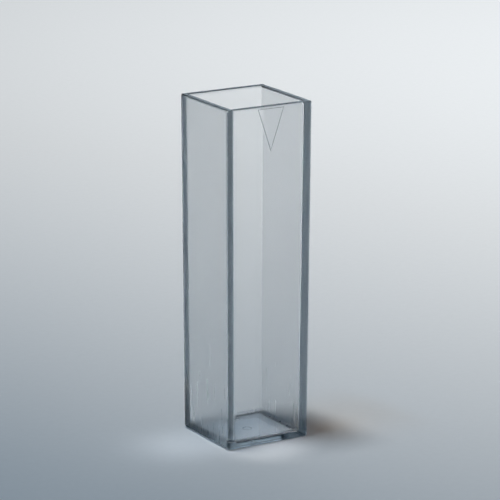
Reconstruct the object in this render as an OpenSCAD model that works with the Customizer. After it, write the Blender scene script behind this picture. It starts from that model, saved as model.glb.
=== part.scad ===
// Disposable square cuvette: one clear moulding, open at the top and drafted so that it leaves its mould.
// Origin at the middle of the foot, +Z up. The window with the triangle faces -Y.

/* [Outside] */
// Height from the foot to the rim
body_h = 45; // [30:0.5:60]
// Width across the outer faces at the rim
rim_w = 12.5; // [8:0.1:20]
// Draft of the outer faces, in degrees: the foot is narrower than the rim
outer_draft = 0.32; // [0:0.01:0.6]
// Radius of the upright outer edges
edge_r = 0.55; // [0.1:0.05:0.8]
// Radius round the edge of the foot
foot_r = 0.4; // [0.1:0.05:0.6]

/* [Sample well] */
// Thickness of the walls at the rim
wall_t = 0.95; // [0.6:0.05:1.5]
// Draft of the inner faces, in degrees: the walls thicken downwards, to a light path of 10 at the floor
well_draft = 0.39; // [0.2:0.01:0.8]
// Thickness of the floor
floor_t = 0.7; // [0.6:0.05:3]
// Radius of the upright inner corners
corner_r = 0.3; // [0.1:0.05:0.6]
// Radius of the cove where the walls meet the floor
cove_r = 0.45; // [0.1:0.05:0.8]

/* [Window mark] */
// Width of the triangle along its top edge
mark_w = 3.85; // [2:0.05:6]
// Height of the triangle from its top edge to its tip
mark_h = 5.6; // [3:0.1:10]
// Distance from the rim down to the top edge of the triangle
mark_drop = 0.3; // [0.2:0.1:3]
// Height of the triangle above the window
mark_raise = 0.1; // [0.03:0.01:0.2]

/* [Underside] */
// Diameter of the dimple round the mould gate
gate_d = 1.3; // [0.8:0.1:3]
// Depth of the gate dimple
gate_depth = 0.2; // [0.1:0.05:0.4]
// Diameter of the dot that tells mould cavities apart
dot_d = 0.7; // [0.4:0.1:1.2]
// Depth of the dot
dot_depth = 0.15; // [0.05:0.05:0.4]
// Distance of the dot from the middle, to the right
dot_offset = 0.9; // [0:0.1:2]
// Distance of the dot from the back edge of the foot
dot_inset = 2; // [1.2:0.05:2.5]

/* [Hidden] */
// How far a cutting shape runs past the surface that it opens
overrun = 1;
// Sides of a dimple's round
$fn = 48;
// Flat steps in the quarter round of a foot or a cove
arc_steps = 6;
// Angle between the slabs that bound a block, so the size of the steps round its upright edges
slab_turn = 22.5;
// Length of those slabs, enough to cross the whole block
slab_l = 2 * rim_w;
foot_w = rim_w - 2 * body_h * tan(outer_draft);
well_depth = body_h - floor_t;
mouth_w = rim_w - 2 * wall_t;
path_w = mouth_w - 2 * well_depth * tan(well_draft);
plastic = [0.72, 0.79, 0.84, 0.5];

// Half the width of a square with rounded corners, measured along a direction
function reach(width, r, turn) = (width / 2 - r) * (abs(cos(turn)) + abs(sin(turn))) + r;

// Right half of a drafted outline: a quarter round at the foot, then a straight wall
function drafted_side(lower, upper, h, r) =
    let (lean = atan((upper - lower) / h), centre = lower + r * tan(lean) - r / cos(lean))
    concat(
        [for (i = [0:arc_steps]) let (a = (90 - lean) * i / arc_steps) [centre + r * sin(a), r - r * cos(a)]],
        [[upper, h]]
    );

// The same points seen in a mirror, in the order that carries the outline on round
function mirrored(points) = [for (i = [len(points) - 1:-1:0]) [-points[i].x, points[i].y]];

// A long slab with drafted sides, given by half its width at the foot and at the top
module drafted_slab(lower, upper, h, r) {
    side = drafted_side(lower, upper, h, r);
    rotate([90, 0, 0])
        linear_extrude(height = slab_l, center = true)
            polygon(concat(side, mirrored(side)));
}

// A square block that widens upwards, with eased upright edges and a rounded foot
module drafted_block(lower_w, upper_w, h, upright_r, lower_r) {
    intersection_for (turn = [0:slab_turn:180 - slab_turn])
        rotate(turn)
            drafted_slab(reach(lower_w, upright_r, turn), reach(upper_w, upright_r, turn), h, lower_r);
}

// The space that holds the sample, run on past the rim
module sample_well() {
    translate([0, 0, floor_t])
        drafted_block(path_w, mouth_w + 2 * overrun * tan(well_draft), well_depth + overrun, corner_r, cove_r);
}

// The triangle, standing square on the leaning window and rooted in its wall
module window_mark() {
    translate([0, -rim_w / 2, body_h])
        rotate([90 + outer_draft, 0, 0])
            translate([0, -mark_drop, -wall_t / 2])
                linear_extrude(height = mark_raise + wall_t / 2)
                    polygon([[-mark_w / 2, 0], [0, -mark_h], [mark_w / 2, 0]]);
}

// A round dimple in the underside
module foot_dimple(d, depth) {
    translate([0, 0, -overrun])
        cylinder(h = depth + overrun, d = d);
}

module cuvette() {
    color(plastic)
        union() {
            difference() {
                drafted_block(foot_w, rim_w, body_h, edge_r, foot_r);
                sample_well();
                foot_dimple(gate_d, gate_depth);
                translate([dot_offset, foot_w / 2 - dot_inset, 0]) foot_dimple(dot_d, dot_depth);
            }
            window_mark();
        }
}

cuvette();
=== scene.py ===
"""Looks of a disposable square cuvette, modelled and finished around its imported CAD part."""

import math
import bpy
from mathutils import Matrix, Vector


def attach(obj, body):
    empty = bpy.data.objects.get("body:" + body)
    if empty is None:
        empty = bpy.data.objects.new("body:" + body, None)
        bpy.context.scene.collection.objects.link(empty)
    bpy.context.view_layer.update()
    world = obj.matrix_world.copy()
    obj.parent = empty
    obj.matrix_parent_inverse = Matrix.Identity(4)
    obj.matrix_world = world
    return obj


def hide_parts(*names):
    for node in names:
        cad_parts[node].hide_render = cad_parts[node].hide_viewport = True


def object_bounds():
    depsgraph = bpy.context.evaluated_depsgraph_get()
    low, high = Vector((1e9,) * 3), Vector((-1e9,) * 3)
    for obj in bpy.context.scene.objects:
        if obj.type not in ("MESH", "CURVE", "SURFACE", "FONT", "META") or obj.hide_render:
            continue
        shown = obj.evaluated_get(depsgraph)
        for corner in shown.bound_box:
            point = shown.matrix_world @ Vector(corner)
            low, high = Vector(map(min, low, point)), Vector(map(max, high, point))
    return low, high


bl_info = {
    "name": "Cuvette looks",
    "version": (1, 0, 0),
    "blender": (4, 5, 0),
    "location": "View3D > Sidebar > Cuvette",
    "description": "Models a clear moulded cuvette with frosted sides, and the stage that it is seen on",
    "category": "Add Mesh",
}

import bmesh
import bpy
from mathutils import Quaternion, Vector

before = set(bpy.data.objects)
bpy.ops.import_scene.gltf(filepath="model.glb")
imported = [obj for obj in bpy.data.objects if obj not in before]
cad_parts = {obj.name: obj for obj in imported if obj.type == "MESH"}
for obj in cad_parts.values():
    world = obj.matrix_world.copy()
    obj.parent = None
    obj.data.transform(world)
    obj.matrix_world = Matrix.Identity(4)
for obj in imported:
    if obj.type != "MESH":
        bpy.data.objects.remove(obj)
CAD_LOW, CAD_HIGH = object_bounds()
MM = 0.001

PIECE = "cuvette_body"
NODE = "cuvette"
# Face attribute that says how matt each face is, from 0, polished, to 1, frosted
FINISH = "frost"

# Cosines of the angle between a face and a direction: a face that looks one way, the part of the rim's
# round that is frosted, and the steepest and flattest faces of the cove
FACING = 0.99
RIM_FROST_TURN = 0.75
COVE_UPRIGHT = 0.02
COVE_LEVEL = 0.995
# Decimal places to which the faces of one flat surface agree in direction
FLAT_PLACES = 3
# Distance in millimetres within which a cut snaps to a point
CUT_SNAP = 1e-5
# Flat steps in the round of an edge and of a peg's end, and sides of a peg
EDGE_STEPS = 6
PEG_STEPS = 4
PEG_SIDES = 48
# Rounding of a peg's end as a share of how deep it cuts
GATE_ROUNDING = 1 / 3
PAD_ROUNDING = 1 / 3
DOT_ROUNDING = 0.95
# Width of the groove round the gate's stub as a share of the dimple's depth
STUB_GROOVE = 1 / 2
# Faces that meet at a smaller angle are shaded as one surface, and large faces then stay flat
SMOOTH_ANGLE = math.radians(40)
FLAT_WEIGHT = 100

# Middle of a noise texture's values
NOISE_MIDDLE = 0.5
# Colour sockets of a Mix node, which shares their names among its kinds of value
MIX_A, MIX_B, MIX_RESULT = 6, 7, 2

# Width of the camera's sensor in millimetres, and the nearest and farthest distance it sees in metres
SENSOR = 36
CLIP_NEAR, CLIP_FAR = 0.01, 20
# Light crosses many surfaces inside the clear walls before it leaves them
ALL_BOUNCES, CLEAR_BOUNCES, GLOSSY_BOUNCES = 24, 16, 9


def length(name, default, description):
    """A size in metres that shows its unit."""
    return bpy.props.FloatProperty(
        name=name, description=description, default=default, precision=5, unit="LENGTH"
    )


def angle(name, degrees, description):
    """An angle, stored in radians."""
    return bpy.props.FloatProperty(
        name=name, description=description, default=math.radians(degrees), unit="ROTATION"
    )


def hex_to_linear(code):
    """Linear RGB of an sRGB hex colour."""
    shades = [int(code[i : i + 2], 16) / 255 for i in (0, 2, 4)]
    return [s / 12.92 if s <= 0.04045 else ((s + 0.055) / 1.055) ** 2.4 for s in shades]


def colour(name, code, description):
    """A colour swatch."""
    return bpy.props.FloatVectorProperty(
        name=name, description=description, default=hex_to_linear(code), subtype="COLOR", min=0, max=1
    )


def number(name, default, description):
    """A plain number."""
    return bpy.props.FloatProperty(name=name, description=description, default=default, precision=4)


def position(name, millimetres, description):
    """A point, given in millimetres."""
    metres = [c * MM for c in millimetres]
    return bpy.props.FloatVectorProperty(name=name, description=description, default=metres, unit="LENGTH")


def tone(name, shares, description):
    """The red, green and blue shares of a lamp's light, which may pass 1."""
    return bpy.props.FloatVectorProperty(name=name, description=description, default=shares)


class CuvetteSizes(bpy.types.PropertyGroup):
    """Sizes of the moulding, and how matt its faces are."""

    height: length("Height", CAD_HIGH.z - CAD_LOW.z, "Foot to rim")
    rim_width: length("Rim width", CAD_HIGH.x - CAD_LOW.x, "Across the outer faces at the rim")
    outer_draft: angle("Outer draft", 0.32, "Lean of the outer faces")
    wall: length("Wall", 0.95 * MM, "Thickness of the walls at the rim")
    well_draft: angle("Well draft", 0.39, "Lean of the inner faces")
    floor: length("Floor", 0.7 * MM, "Thickness of the floor")
    edge_radius: length("Edge radius", 0.55 * MM, "Round of the upright outer edges")
    foot_radius: length("Foot radius", 0.4 * MM, "Round of the edge of the foot")
    corner_radius: length("Corner radius", 0.3 * MM, "Round of the upright inner corners")
    cove_radius: length("Cove radius", 0.45 * MM, "Round where the walls meet the floor")
    rim_radius: length("Rim radius", 0.25 * MM, "Round of the rim's edges")
    mark_width: length("Mark width", 3.85 * MM, "Top edge of the triangle")
    mark_height: length("Mark height", 5.6 * MM, "Top edge of the triangle to its tip")
    mark_drop: length("Mark drop", 0.3 * MM, "Rim to the top edge of the triangle")
    mark_raise: length("Mark raise", 0.1 * MM, "Height of the triangle above the window")
    mark_slope: length("Mark slope", 0.02 * MM, "Width of the sloping sides of the triangle")
    mark_border: length("Mark border", 0.08 * MM, "Width of the triangle's raised border")
    mark_sink: length("Mark sink", 0.05 * MM, "Border down to the face of the triangle")
    gate_diameter: length("Gate diameter", 1.3 * MM, "Dimple round the mould gate")
    gate_depth: length("Gate depth", 0.2 * MM, "Depth of the gate dimple")
    gate_stub: length("Gate stub", 0.15 * MM, "Height of the sheared gate left inside its dimple")
    dot_diameter: length("Dot diameter", 0.7 * MM, "Dot that tells mould cavities apart")
    dot_depth: length("Dot depth", 0.15 * MM, "Depth of the dot")
    dot_offset: length("Dot offset", 0.9 * MM, "Dot from the middle, to the right")
    dot_inset: length("Dot inset", 2.0 * MM, "Dot from the back edge of the foot")
    dot_pad: length("Dot pad", 1.4 * MM, "Polished end of the mould's pin round the dot")
    pad_depth: length("Pad depth", 0.02 * MM, "How far that pin stands into the underside")
    frost_margin: length("Frost margin", 0.65 * MM, "Clear strip beside each frosted face")
    frost_start: length("Frost start", 0.3 * MM, "Clear strip between the foot and the frosting")
    foot_border: length("Foot border", 2.2 * MM, "Width of the matt border of the underside")
    frost: number("Frost", 1.0, "How matt the side faces are")
    haze: number("Haze", 0.7, "How matt the triangle is")
    foot_haze: number("Foot haze", 0.8, "How matt the border of the underside is")
    cove_haze: number("Cove haze", 1.0, "How matt the cove is")


class CuvetteLooks(bpy.types.PropertyGroup):
    """Finish of the plastic."""

    tint: colour("Plastic tint", "FFFFFF", "What light keeps as it crosses a surface")
    depth_tint: colour("Depth tint", "B9C6CE", "Colour of the plastic seen along its length")
    depth: number("Depth", 120.0, "Density of the plastic's own colour, per metre")
    refraction: number("Refraction", 1.59, "Refractive index of polystyrene")
    mirror: number("Mirror", 0.45, "Share of its reflections that the plastic keeps")
    polished: number("Polished", 0.02, "Roughness of the polished faces")
    frosted: number("Frosted", 0.28, "Roughness of the frosted faces")
    grain: length("Grain", 0.006 * MM, "Height of the frosting's grain")
    streak_width: length("Streak width", MM / 3, "Streaks of the frosting, across")
    streak_length: length("Streak length", 1 / 220, "Streaks of the frosting, along")
    streak_top: length("Streak top", 18 * MM, "Height above which the streaks are weakest")
    streak_low: number("Streak low", 0.17, "Strength of the streaks at the foot")
    streak_high: number("Streak high", 0.05, "Strength of the streaks above")


class StageSettings(bpy.types.PropertyGroup):
    """Floor, light and camera. Lamps are placed to the right of, beyond and above the middle of the foot."""

    floor_size: length("Floor size", 6.0, "Side of the floor")
    floor_gap: length("Floor gap", 0.03 * MM, "Air between the foot and the floor")
    floor_colour: colour("Floor colour", "E4E4E4", "Pale paper floor")
    floor_shade: colour("Floor shade", "E0E0E0", "Thin places in the paper")
    flock: length("Flock", 1 * MM, "Flocks of fibre in the paper, across")
    horizon: colour("Horizon", "556674", "Light from low down")
    zenith: colour("Zenith", "192B36", "Light from overhead")
    backdrop: colour("Backdrop", "C8D8E4", "Pale backdrop behind the cuvette, seen in its rim")
    horizon_end: number("Horizon end", 0.15, "Sine of the height that the horizon reaches up to")
    zenith_start: number("Zenith start", 0.65, "Sine of the height above which it is all zenith")
    backdrop_edge: number("Backdrop edge", 0.8, "Cosine of the angle at which the backdrop starts")
    backdrop_full: number("Backdrop full", 0.95, "Cosine of the angle inside which it is all backdrop")
    key_size: length("Lamp size", 0.13, "Side of the three main lamps")
    key_place: position("Key place", (-65, 0, 600), "Main lamp, above and to the left")
    key_aim: position("Key aim", (790, 935, 0), "Point on the floor that the main lamp faces")
    key_spread: angle("Key spread", 136, "How widely the main lamp shines")
    key_power: number("Key power", 5.52, "Watts of the main lamp")
    key_tone: tone("Key tone", (0.97, 0.99, 1.0), "Colour of the main lamp")
    fill_place: position("Fill place", (-165, -100, 600), "Second lamp, for the floor on the near side")
    fill_aim: position("Fill aim", (-790, -935, 0), "Point on the floor that the second lamp faces")
    fill_spread: angle("Fill spread", 172, "How widely the second lamp shines")
    fill_power: number("Fill power", 1.6, "Watts of the second lamp")
    fill_tone: tone("Fill tone", (0.3, 0.72, 1.15), "Colour of the second lamp")
    rear_place: position("Rear place", (-165, -100, 600), "Third lamp, for the floor behind the camera")
    rear_aim: position("Rear aim", (-790, -935, 0), "Point on the floor that the third lamp faces")
    rear_spread: angle("Rear spread", 146, "How widely the third lamp shines")
    rear_power: number("Rear power", 7.0, "Watts of the third lamp")
    rear_tone: tone("Rear tone", (1.1, 1.0, 0.9), "Colour of the third lamp")
    glow_size: length("Glow size", 7 * MM, "Side of the lamps for light gathered by the plastic")
    glow_spread: angle("Glow spread", 75, "How widely those lamps shine")
    well_place: position("Well place", (1.5, 0.5, 14), "Lamp for light gathered under the floor of the well")
    well_power: number("Well power", 0.00003, "Watts of that lamp")
    well_tone: tone("Well tone", (0.3, 1.0, 2.0), "Colour of that lamp")
    front_place: position("Front place", (3.3, -6.0, 8), "Lamp for light gathered in front of the window")
    front_power: number("Front power", 0.0001, "Watts of that lamp")
    front_tone: tone("Front tone", (1.0, 1.0, 1.0), "Colour of that lamp")
    left_place: position("Left place", (-8.3, -6.0, 12), "Lamp for light gathered beside the left wall")
    left_power: number("Left power", 0.00005, "Watts of that lamp")
    left_tone: tone("Left tone", (0.9, 1.0, 1.12), "Colour of that lamp")
    shade_place: position("Shade place", (10, 1, 12), "Lamp for the warm light that crosses the shadow")
    shade_power: number("Shade power", 0.000027, "Watts of that lamp")
    shade_tone: tone("Shade tone", (1.0, 0.5, 0.05), "Colour of that lamp")
    eye: position("Eye", (-193.32, -327.29, 125.85), "Place of the camera")
    target: position("Target", (0.646, 0, 24.643), "Point that the camera looks at")
    roll: angle("Roll", 0.11, "Turn of the camera about its own axis")
    lens: number("Lens", 218.3, "Focal length in millimetres")


def deselect():
    """Puts Blender in object mode with nothing selected."""
    if bpy.context.object and bpy.context.object.mode != "OBJECT":
        bpy.ops.object.mode_set(mode="OBJECT")
    bpy.ops.object.select_all(action="DESELECT")


def activate(obj):
    """Makes one object the only selected and active one."""
    deselect()
    obj.select_set(True)
    bpy.context.view_layer.objects.active = obj


def edit(obj):
    """Opens one object in edit mode."""
    activate(obj)
    bpy.ops.object.mode_set(mode="EDIT")


def pick(obj, kind, test):
    """Selects, in edit mode, the faces or edges for which test is true."""
    bpy.ops.mesh.select_mode(type="FACE" if kind == "faces" else "EDGE")
    bpy.ops.mesh.select_all(action="DESELECT")
    mesh = bmesh.from_edit_mesh(obj.data)
    for element in getattr(mesh, kind):
        element.select_set(test(element))
    mesh.select_flush_mode()
    bmesh.update_edit_mesh(obj.data)


def apply(obj, kind, **settings):
    """Adds a modifier and applies it."""
    activate(obj)
    modifier = obj.modifiers.new(kind.title(), kind)
    for name, value in settings.items():
        setattr(modifier, name, value)
    bpy.ops.object.modifier_apply(modifier=modifier.name)


def open_block(sizes):
    """A drafted square block with its well sunk, in millimetres and with sharp edges."""
    h, rim, wall, floor = (v / MM for v in (sizes.height, sizes.rim_width, sizes.wall, sizes.floor))
    foot = rim - 2 * h * math.tan(sizes.outer_draft)
    mouth = rim - 2 * wall
    path = mouth - 2 * (h - floor) * math.tan(sizes.well_draft)
    deselect()
    bpy.ops.mesh.primitive_cube_add(size=1, location=(0, 0, h / 2), scale=(foot, foot, h))
    block = bpy.context.object
    block.name = block.data.name = PIECE
    bpy.ops.object.transform_apply(location=True, rotation=True, scale=True)
    bpy.ops.object.mode_set(mode="EDIT")
    pick(block, "faces", lambda f: f.normal.z > FACING)
    bpy.ops.transform.resize(value=(rim / foot, rim / foot, 1), center_override=(0, 0, h))
    bpy.ops.mesh.inset(thickness=wall)
    bpy.ops.mesh.extrude_region_move(TRANSFORM_OT_translate={"value": (0, 0, floor - h)})
    bpy.ops.transform.resize(value=(path / mouth, path / mouth, 1), center_override=(0, 0, floor))
    bpy.ops.object.mode_set(mode="OBJECT")
    return block


def round_edges(block, sizes):
    """Gives every edge its own radius through bevel weights."""
    h, wall, floor = (v / MM for v in (sizes.height, sizes.wall, sizes.floor))
    # A line a quarter of the way into the wall lies outside every inner edge and inside every outer one.
    inner = sizes.rim_width / MM / 2 - wall + wall / 4
    radii = {
        "edge": sizes.edge_radius,
        "foot": sizes.foot_radius,
        "corner": sizes.corner_radius,
        "cove": sizes.cove_radius,
        "rim": sizes.rim_radius,
    }
    widest = max(radii.values())

    def place(edge):
        low, high = sorted(v.co.z for v in edge.verts)
        inside = max(abs(v.co.x) for v in edge.verts) < inner
        if high - low > h / 2:
            return "corner" if inside else "edge"
        if low > h / 2:
            return "rim"
        return "cove" if inside and low > floor / 2 else "foot"

    edit(block)
    mesh = bmesh.from_edit_mesh(block.data)
    weight = mesh.edges.layers.float.new("bevel_weight_edge")
    for edge in mesh.edges:
        across = len({tuple(round(c, FLAT_PLACES) for c in f.normal) for f in edge.link_faces}) > 1
        edge[weight] = radii[place(edge)] / widest if across else 0
    bmesh.update_edit_mesh(block.data)
    bpy.ops.object.mode_set(mode="OBJECT")
    apply(
        block,
        "BEVEL",
        limit_method="WEIGHT",
        width=widest / MM,
        segments=EDGE_STEPS,
        use_clamp_overlap=True,
    )


def combine(block, other, operation):
    """Joins another shape to the block or cuts it out, and takes that shape out of the scene."""
    apply(block, "BOOLEAN", operation=operation, solver="EXACT", object=other)
    bpy.data.objects.remove(other)


def raised_mark(sizes):
    """The triangle: a three-sided prism, rooted in the window's wall, with a border round a sunk face."""
    rim, h = sizes.rim_width / MM, sizes.height / MM
    width, tall, drop, proud, slope, root = (
        v / MM
        for v in (
            sizes.mark_width,
            sizes.mark_height,
            sizes.mark_drop,
            sizes.mark_raise,
            sizes.mark_slope,
            sizes.wall / 2,
        )
    )
    deselect()
    bpy.ops.mesh.primitive_plane_add(size=1, location=(0, -rim / 2, h))
    mark = bpy.context.object
    bpy.ops.object.mode_set(mode="EDIT")
    bpy.ops.transform.resize(value=(width, tall, 1), center_override=(0, -rim / 2, h))
    mesh = bmesh.from_edit_mesh(mark.data)
    for v in mesh.verts:
        v.select_set(v.co.y < 0)
    mesh.select_flush_mode()
    bmesh.update_edit_mesh(mark.data)
    bpy.ops.mesh.merge(type="CENTER")
    bpy.ops.mesh.select_all(action="SELECT")
    bpy.ops.transform.translate(value=(0, -tall / 2 - drop, -root))
    # The sides slope towards the middle of the circle that touches all three of them.
    flank = math.hypot(width / 2, tall)
    inradius = width * tall / (width + 2 * flank)
    centre = (0, -rim / 2 - drop - inradius, h)
    shrink = 1 - slope / inradius
    bpy.ops.mesh.extrude_region_move(TRANSFORM_OT_translate={"value": (0, 0, root)})
    bpy.ops.mesh.extrude_region_move(TRANSFORM_OT_translate={"value": (0, 0, proud)})
    bpy.ops.transform.resize(value=(shrink, shrink, 1), center_override=centre)
    bpy.ops.mesh.inset(thickness=sizes.mark_border / MM)
    bpy.ops.mesh.inset(thickness=slope, depth=-sizes.mark_sink / MM)
    bpy.ops.mesh.select_all(action="SELECT")
    bpy.ops.mesh.normals_make_consistent(inside=False)
    bpy.ops.object.mode_set(mode="OBJECT")
    mark.rotation_euler.x = math.pi / 2 + sizes.outer_draft
    bpy.ops.object.transform_apply(location=True, rotation=True, scale=True)
    return mark


def peg(diameter, depth, rounding, x=0, y=0):
    """A short round peg under the foot, with a rounded end, that cuts a dimple."""
    deselect()
    bpy.ops.mesh.primitive_cylinder_add(
        vertices=PEG_SIDES, radius=diameter / 2, depth=2 * depth, location=(x, y, 0)
    )
    cutter = bpy.context.object
    bpy.ops.object.transform_apply(location=True, rotation=True, scale=True)
    bpy.ops.object.mode_set(mode="EDIT")
    pick(cutter, "edges", lambda e: all(v.co.z > 0 for v in e.verts))
    bpy.ops.mesh.bevel(offset=rounding, segments=PEG_STEPS, affect="EDGES")
    bpy.ops.object.mode_set(mode="OBJECT")
    return cutter


def hollow_end(cutter, border, depth):
    """Sinks the end of a peg inside a border, with sloping sides, so that its dimple keeps a stub."""
    edit(cutter)
    pick(cutter, "faces", lambda f: f.normal.z > FACING)
    bpy.ops.mesh.inset(thickness=border)
    bpy.ops.mesh.inset(thickness=border / 2, depth=-depth)
    bpy.ops.object.mode_set(mode="OBJECT")


def cut_underside(block, sizes):
    """Cuts the pad and the dot of a mould's pin, and the gate's dimple with its stub."""
    foot = sizes.rim_width - 2 * sizes.height * math.tan(sizes.outer_draft)
    gate_depth, dot_depth, pad_depth = (v / MM for v in (sizes.gate_depth, sizes.dot_depth, sizes.pad_depth))
    dot_x, dot_y = sizes.dot_offset / MM, (foot / 2 - sizes.dot_inset) / MM
    pad = peg(sizes.dot_pad / MM, pad_depth, PAD_ROUNDING * pad_depth, dot_x, dot_y)
    combine(block, pad, "DIFFERENCE")
    gate = peg(sizes.gate_diameter / MM, gate_depth, GATE_ROUNDING * gate_depth)
    hollow_end(gate, STUB_GROOVE * gate_depth, sizes.gate_stub / MM)
    combine(block, gate, "DIFFERENCE")
    dot = peg(sizes.dot_diameter / MM, dot_depth, DOT_ROUNDING * dot_depth, dot_x, dot_y)
    combine(block, dot, "DIFFERENCE")


def finish(obj, amount):
    """Writes how matt the selected faces are."""
    mesh = bmesh.from_edit_mesh(obj.data)
    layer = mesh.faces.layers.float.get(FINISH) or mesh.faces.layers.float.new(FINISH)
    for face in mesh.faces:
        if face.select:
            face[layer] = amount
    bmesh.update_edit_mesh(obj.data)


def frost_sides(block, sizes):
    """Splits the frosted fields off the two side faces, and frosts them and the rim's round above them."""
    rim, h, margin, start = (
        v / MM for v in (sizes.rim_width, sizes.height, sizes.frost_margin, sizes.frost_start)
    )
    lean = sizes.outer_draft
    edge = rim / 2 - margin
    middle_of_wall = rim / 2 - sizes.wall / MM / 2
    rim_round = h - sizes.rim_radius / MM

    def outer_side(f, turn):
        return abs(f.normal.x) > turn and abs(f.calc_center_median().x) > middle_of_wall

    def side_face(f):
        return outer_side(f, FACING)

    def frosted(f):
        # The middle of a frosted field lies high, and that of the clear strip under it near the foot.
        centre = f.calc_center_median()
        field = side_face(f) and centre.z > h / 4
        above = outer_side(f, RIM_FROST_TURN) and centre.z > rim_round
        return abs(centre.y) < margin and (field or above)

    edit(block)
    for side in (-1, 1):
        pick(block, "faces", side_face)
        bpy.ops.mesh.bisect(
            plane_co=(0, side * edge, h),
            plane_no=(0, math.cos(lean), -side * math.sin(lean)),
            threshold=CUT_SNAP,
        )
    pick(block, "faces", side_face)
    bpy.ops.mesh.bisect(plane_co=(0, 0, start), plane_no=(0, 0, 1), threshold=CUT_SNAP)
    pick(block, "faces", frosted)
    finish(block, sizes.frost)
    bpy.ops.object.mode_set(mode="OBJECT")


def haze_mark(block, sizes):
    """Makes the face of the triangle slightly matt."""
    whole = sizes.mark_width * sizes.mark_height / MM / MM

    def mark_face(f):
        # Above half the height, only the triangle's face has an area near half of the box round it.
        high = f.calc_center_median().z > sizes.height / MM / 2
        return high and f.normal.y < -FACING and whole / 4 < f.calc_area() < whole

    edit(block)
    pick(block, "faces", mark_face)
    finish(block, sizes.haze)
    bpy.ops.object.mode_set(mode="OBJECT")


def haze_foot(block, sizes):
    """Makes the border of the underside and the cove at the foot of the well matt."""
    floor, cove = sizes.floor / MM, sizes.cove_radius / MM
    middle_of_wall = sizes.rim_width / MM / 2 - sizes.wall / MM / 2

    def underside(f):
        return f.normal.z < -FACING and f.calc_center_median().z < floor / 2

    def cove_face(f):
        centre = f.calc_center_median()
        inside = max(abs(centre.x), abs(centre.y)) < middle_of_wall
        return inside and floor < centre.z < floor + cove and COVE_UPRIGHT < f.normal.z < COVE_LEVEL

    edit(block)
    pick(block, "faces", underside)
    finish(block, sizes.foot_haze)
    bpy.ops.mesh.inset(thickness=sizes.foot_border / MM)
    finish(block, 0)
    pick(block, "faces", cove_face)
    finish(block, sizes.cove_haze)
    bpy.ops.object.mode_set(mode="OBJECT")


def add(tree, kind, links=(), **settings):
    """Adds a node, sets its sockets and settings, and links (input, source socket) pairs into it."""
    node = tree.nodes.new(kind)
    for name, value in settings.items():
        if name in node.inputs:
            node.inputs[name].default_value = value
        else:
            setattr(node, name, value)
    for name, source in links:
        tree.links.new(source, node.inputs[name])
    return node


def calculate(tree, operation, *values):
    """A Math node's result. Each value is a socket or a number."""
    node = add(tree, "ShaderNodeMath", operation=operation)
    for socket, value in zip(node.inputs, values):
        if isinstance(value, bpy.types.NodeSocket):
            tree.links.new(value, socket)
        else:
            socket.default_value = value
    return node.outputs["Value"]


def mix_colours(tree, factor, a, b):
    """The blend of two colours, each a swatch or a socket."""
    node = add(tree, "ShaderNodeMix", [("Factor", factor)], data_type="RGBA")
    for index, value in ((MIX_A, a), (MIX_B, b)):
        if isinstance(value, bpy.types.NodeSocket):
            tree.links.new(value, node.inputs[index])
        else:
            node.inputs[index].default_value = (*value, 1)
    return node.outputs[MIX_RESULT]


def blank_material(name):
    """A material with an empty node tree, and its output node."""
    material = bpy.data.materials.new(name)
    material.use_nodes = True
    material.node_tree.nodes.clear()
    return material, material.node_tree, material.node_tree.nodes.new("ShaderNodeOutputMaterial")


def polystyrene(looks):
    """Polystyrene as it leaves the mould: clear, blue-grey where it is seen along its length."""
    material, tree, output = blank_material("injection_moulded_polystyrene")
    frost = add(tree, "ShaderNodeAttribute", attribute_name=FINISH).outputs["Fac"]
    place = add(tree, "ShaderNodeTexCoord").outputs["Object"]
    # The mould's frosting is dragged upwards as the part leaves it, which shows as soft upright streaks,
    # most of all near the foot. They are a third of a millimetre wide and 4.5 mm long, coarser than the
    # real grain, so that they show.
    across, along = 1 / looks.streak_width, 1 / looks.streak_length
    drawn = add(
        tree, "ShaderNodeMapping", [("Vector", place)], Scale=(across, across, along)
    ).outputs["Vector"]
    streaks = add(tree, "ShaderNodeTexNoise", [("Vector", drawn)], Scale=1.0, Detail=1.0).outputs["Fac"]
    high = add(tree, "ShaderNodeSeparateXYZ", [("Vector", place)]).outputs["Z"]
    strength = add(
        tree,
        "ShaderNodeMapRange",
        [("Value", high)],
        **{"From Max": looks.streak_top, "To Min": looks.streak_low, "To Max": looks.streak_high},
    ).outputs["Result"]
    swing = calculate(tree, "SUBTRACT", streaks, NOISE_MIDDLE)
    gain = calculate(tree, "MULTIPLY_ADD", swing, strength, 1.0)
    spread = calculate(tree, "MULTIPLY", gain, looks.frosted)
    rough = add(tree, "ShaderNodeMix", [("Factor", frost), ("B", spread)], A=looks.polished).outputs["Result"]
    relief = add(
        tree, "ShaderNodeBump", [("Height", streaks), ("Strength", frost)], Distance=looks.grain
    ).outputs["Normal"]
    shader = add(
        tree,
        "ShaderNodeBsdfPrincipled",
        [("Roughness", rough), ("Normal", relief)],
        **{
            "Base Color": (*looks.tint, 1),
            "IOR": looks.refraction,
            "Specular Tint": (looks.mirror, looks.mirror, looks.mirror, 1),
            "Transmission Weight": 1.0,
        },
    )
    inside = add(tree, "ShaderNodeVolumeAbsorption", Color=(*looks.depth_tint, 1), Density=looks.depth)
    tree.links.new(shader.outputs["BSDF"], output.inputs["Surface"])
    tree.links.new(inside.outputs["Volume"], output.inputs["Volume"])
    return material


def paper(stage):
    """Matt paper. Its faint cloudiness keeps the floor from looking like bare computer grey."""
    material, tree, output = blank_material("matt_paper")
    spot = add(tree, "ShaderNodeTexCoord").outputs["Object"]
    flocks = add(
        tree, "ShaderNodeTexNoise", [("Vector", spot)], Scale=1 / stage.flock, Detail=2.0
    ).outputs["Fac"]
    blend = mix_colours(tree, flocks, stage.floor_shade, stage.floor_colour)
    shader = add(tree, "ShaderNodeBsdfDiffuse", [("Color", blend)])
    tree.links.new(shader.outputs["BSDF"], output.inputs["Surface"])
    return material


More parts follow.
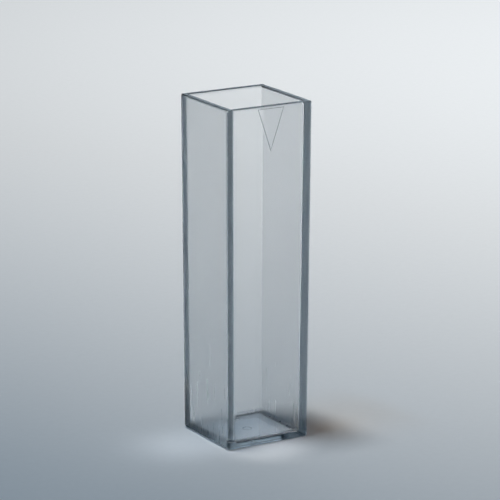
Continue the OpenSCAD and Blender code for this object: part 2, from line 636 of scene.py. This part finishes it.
def lay_floor(stage):
    """The floor that the cuvette stands on."""
    deselect()
    bpy.ops.mesh.primitive_plane_add(size=stage.floor_size, location=(0, 0, -stage.floor_gap))
    floor = bpy.context.object
    floor.name = "floor"
    floor.data.materials.append(paper(stage))


def studio(stage, beyond):
    """A dim blue room with a pale backdrop behind the cuvette."""
    world = bpy.data.worlds.new("studio")
    world.use_nodes = True
    tree = world.node_tree
    way = add(tree, "ShaderNodeTexCoord").outputs["Generated"]

    def share(value, low, high):
        limits = {"From Min": low, "From Max": high}
        return add(tree, "ShaderNodeMapRange", [("Value", value)], **limits).outputs["Result"]

    rise = add(tree, "ShaderNodeSeparateXYZ", [("Vector", way)]).outputs["Z"]
    room = mix_colours(tree, share(rise, stage.horizon_end, stage.zenith_start), stage.horizon, stage.zenith)
    facing = add(tree, "ShaderNodeVectorMath", [(0, way)], operation="DOT_PRODUCT")
    facing.inputs[1].default_value = beyond
    near = share(facing.outputs["Value"], stage.backdrop_edge, stage.backdrop_full)
    whole = mix_colours(tree, near, room, stage.backdrop)
    tree.links.new(whole, tree.nodes["Background"].inputs["Color"])
    return world


def add_lamp(name, spot, point, size, spread, watts, shares):
    """A square lamp at a spot, facing a point."""
    bpy.ops.object.light_add(type="AREA", location=spot)
    lamp = bpy.context.object
    lamp.name = name
    lamp.data.shape = "SQUARE"
    lamp.data.size = size
    lamp.data.spread = spread
    lamp.data.energy = watts
    lamp.data.color = shares
    lamp.rotation_euler = (point - spot).to_track_quat("-Z", "Y").to_euler()
    return lamp


def light_floor(stage, right, beyond):
    """Three lamps over the floor, and weak ones near the foot for light that the clear plastic gathers."""

    def stand(place):
        return right * place[0] + beyond * place[1] + Vector((0, 0, place[2]))

    def setting(name, part):
        return getattr(stage, name + "_" + part)

    for name in ("key", "fill", "rear"):
        add_lamp(
            name,
            stand(setting(name, "place")),
            stand(setting(name, "aim")),
            stage.key_size,
            setting(name, "spread"),
            setting(name, "power"),
            setting(name, "tone"),
        )
    # Path tracing finds gathered light too seldom. The lamps that stand in for it light only the floor.
    for name in ("well", "front", "left", "shade"):
        spot = stand(setting(name, "place"))
        glow = add_lamp(
            name + "_glow",
            spot,
            Vector((spot.x, spot.y, 0)),
            stage.glow_size,
            stage.glow_spread,
            setting(name, "power"),
            setting(name, "tone"),
        )
        glow.data.use_shadow = False
        glow.visible_camera = glow.visible_glossy = glow.visible_transmission = False


def place_camera(stage, view):
    """The camera where the photo was taken from."""
    bpy.ops.object.camera_add(location=stage.eye)
    camera = bpy.context.object
    camera.rotation_mode = "QUATERNION"
    camera.rotation_quaternion = view.to_track_quat("-Z", "Y") @ Quaternion((0, 0, 1), stage.roll)
    camera.data.sensor_width = SENSOR
    camera.data.lens = stage.lens
    camera.data.clip_start = CLIP_NEAR
    camera.data.clip_end = CLIP_FAR
    return camera


class CUVETTE_OT_body(bpy.types.Operator):
    """Model the cuvette and give it its finish"""

    bl_idname = "cuvette.body"
    bl_label = "Cuvette body"

    def execute(self, context):
        sizes = context.scene.cuvette_sizes
        block = open_block(sizes)
        round_edges(block, sizes)
        haze_foot(block, sizes)
        combine(block, raised_mark(sizes), "UNION")
        cut_underside(block, sizes)
        block.data.materials.append(polystyrene(context.scene.cuvette_looks))
        frost_sides(block, sizes)
        haze_mark(block, sizes)
        activate(block)
        bpy.ops.object.shade_smooth_by_angle(angle=SMOOTH_ANGLE)
        apply(block, "WEIGHTED_NORMAL", mode="FACE_AREA", weight=FLAT_WEIGHT, keep_sharp=True)
        # The block was modelled in millimetres.
        block.scale = (MM, MM, MM)
        activate(block)
        bpy.ops.object.transform_apply(location=True, rotation=True, scale=True)
        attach(block, "root")
        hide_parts(NODE)
        return {"FINISHED"}


class CUVETTE_OT_stage(bpy.types.Operator):
    """Lay the floor, set the lights and place the camera"""

    bl_idname = "cuvette.stage"
    bl_label = "Stage"

    def execute(self, context):
        scene = context.scene
        stage = scene.cuvette_stage
        view = Vector(stage.target) - Vector(stage.eye)
        beyond = Vector((view.x, view.y, 0)).normalized()
        right = Vector((beyond.y, -beyond.x, 0))
        lay_floor(stage)
        scene.world = studio(stage, beyond)
        light_floor(stage, right, beyond)
        scene.camera = place_camera(stage, view)
        scene.view_settings.view_transform = "Standard"
        # Without the light tree, the weak lamps near the foot are sampled as often as the strong ones.
        scene.cycles.use_light_tree = False
        scene.cycles.max_bounces = ALL_BOUNCES
        scene.cycles.transmission_bounces = CLEAR_BOUNCES
        scene.cycles.glossy_bounces = GLOSSY_BOUNCES
        return {"FINISHED"}


class CUVETTE_PT_panel(bpy.types.Panel):
    """Sizes, looks and build steps of the cuvette"""

    bl_idname = "CUVETTE_PT_panel"
    bl_label = "Cuvette"
    bl_space_type = "VIEW_3D"
    bl_region_type = "UI"
    bl_category = "Cuvette"

    def draw(self, context):
        for group in ("cuvette_sizes", "cuvette_looks", "cuvette_stage"):
            box = self.layout.box()
            settings = getattr(context.scene, group)
            for name in settings.__annotations__:
                box.prop(settings, name)
        self.layout.operator(CUVETTE_OT_body.bl_idname)
        self.layout.operator(CUVETTE_OT_stage.bl_idname)


CLASSES = (CuvetteSizes, CuvetteLooks, StageSettings, CUVETTE_OT_body, CUVETTE_OT_stage, CUVETTE_PT_panel)


def register():
    """Adds the operators, the panel and the settings to Blender."""
    for cls in CLASSES:
        bpy.utils.register_class(cls)
    bpy.types.Scene.cuvette_sizes = bpy.props.PointerProperty(type=CuvetteSizes)
    bpy.types.Scene.cuvette_looks = bpy.props.PointerProperty(type=CuvetteLooks)
    bpy.types.Scene.cuvette_stage = bpy.props.PointerProperty(type=StageSettings)


def unregister():
    """Takes them out again."""
    for name in ("cuvette_stage", "cuvette_looks", "cuvette_sizes"):
        delattr(bpy.types.Scene, name)
    for cls in reversed(CLASSES):
        bpy.utils.unregister_class(cls)


def main():
    """Builds the piece and the stage."""
    register()
    bpy.ops.cuvette.body()
    bpy.ops.cuvette.stage()


if __name__ == "__main__":
    main()
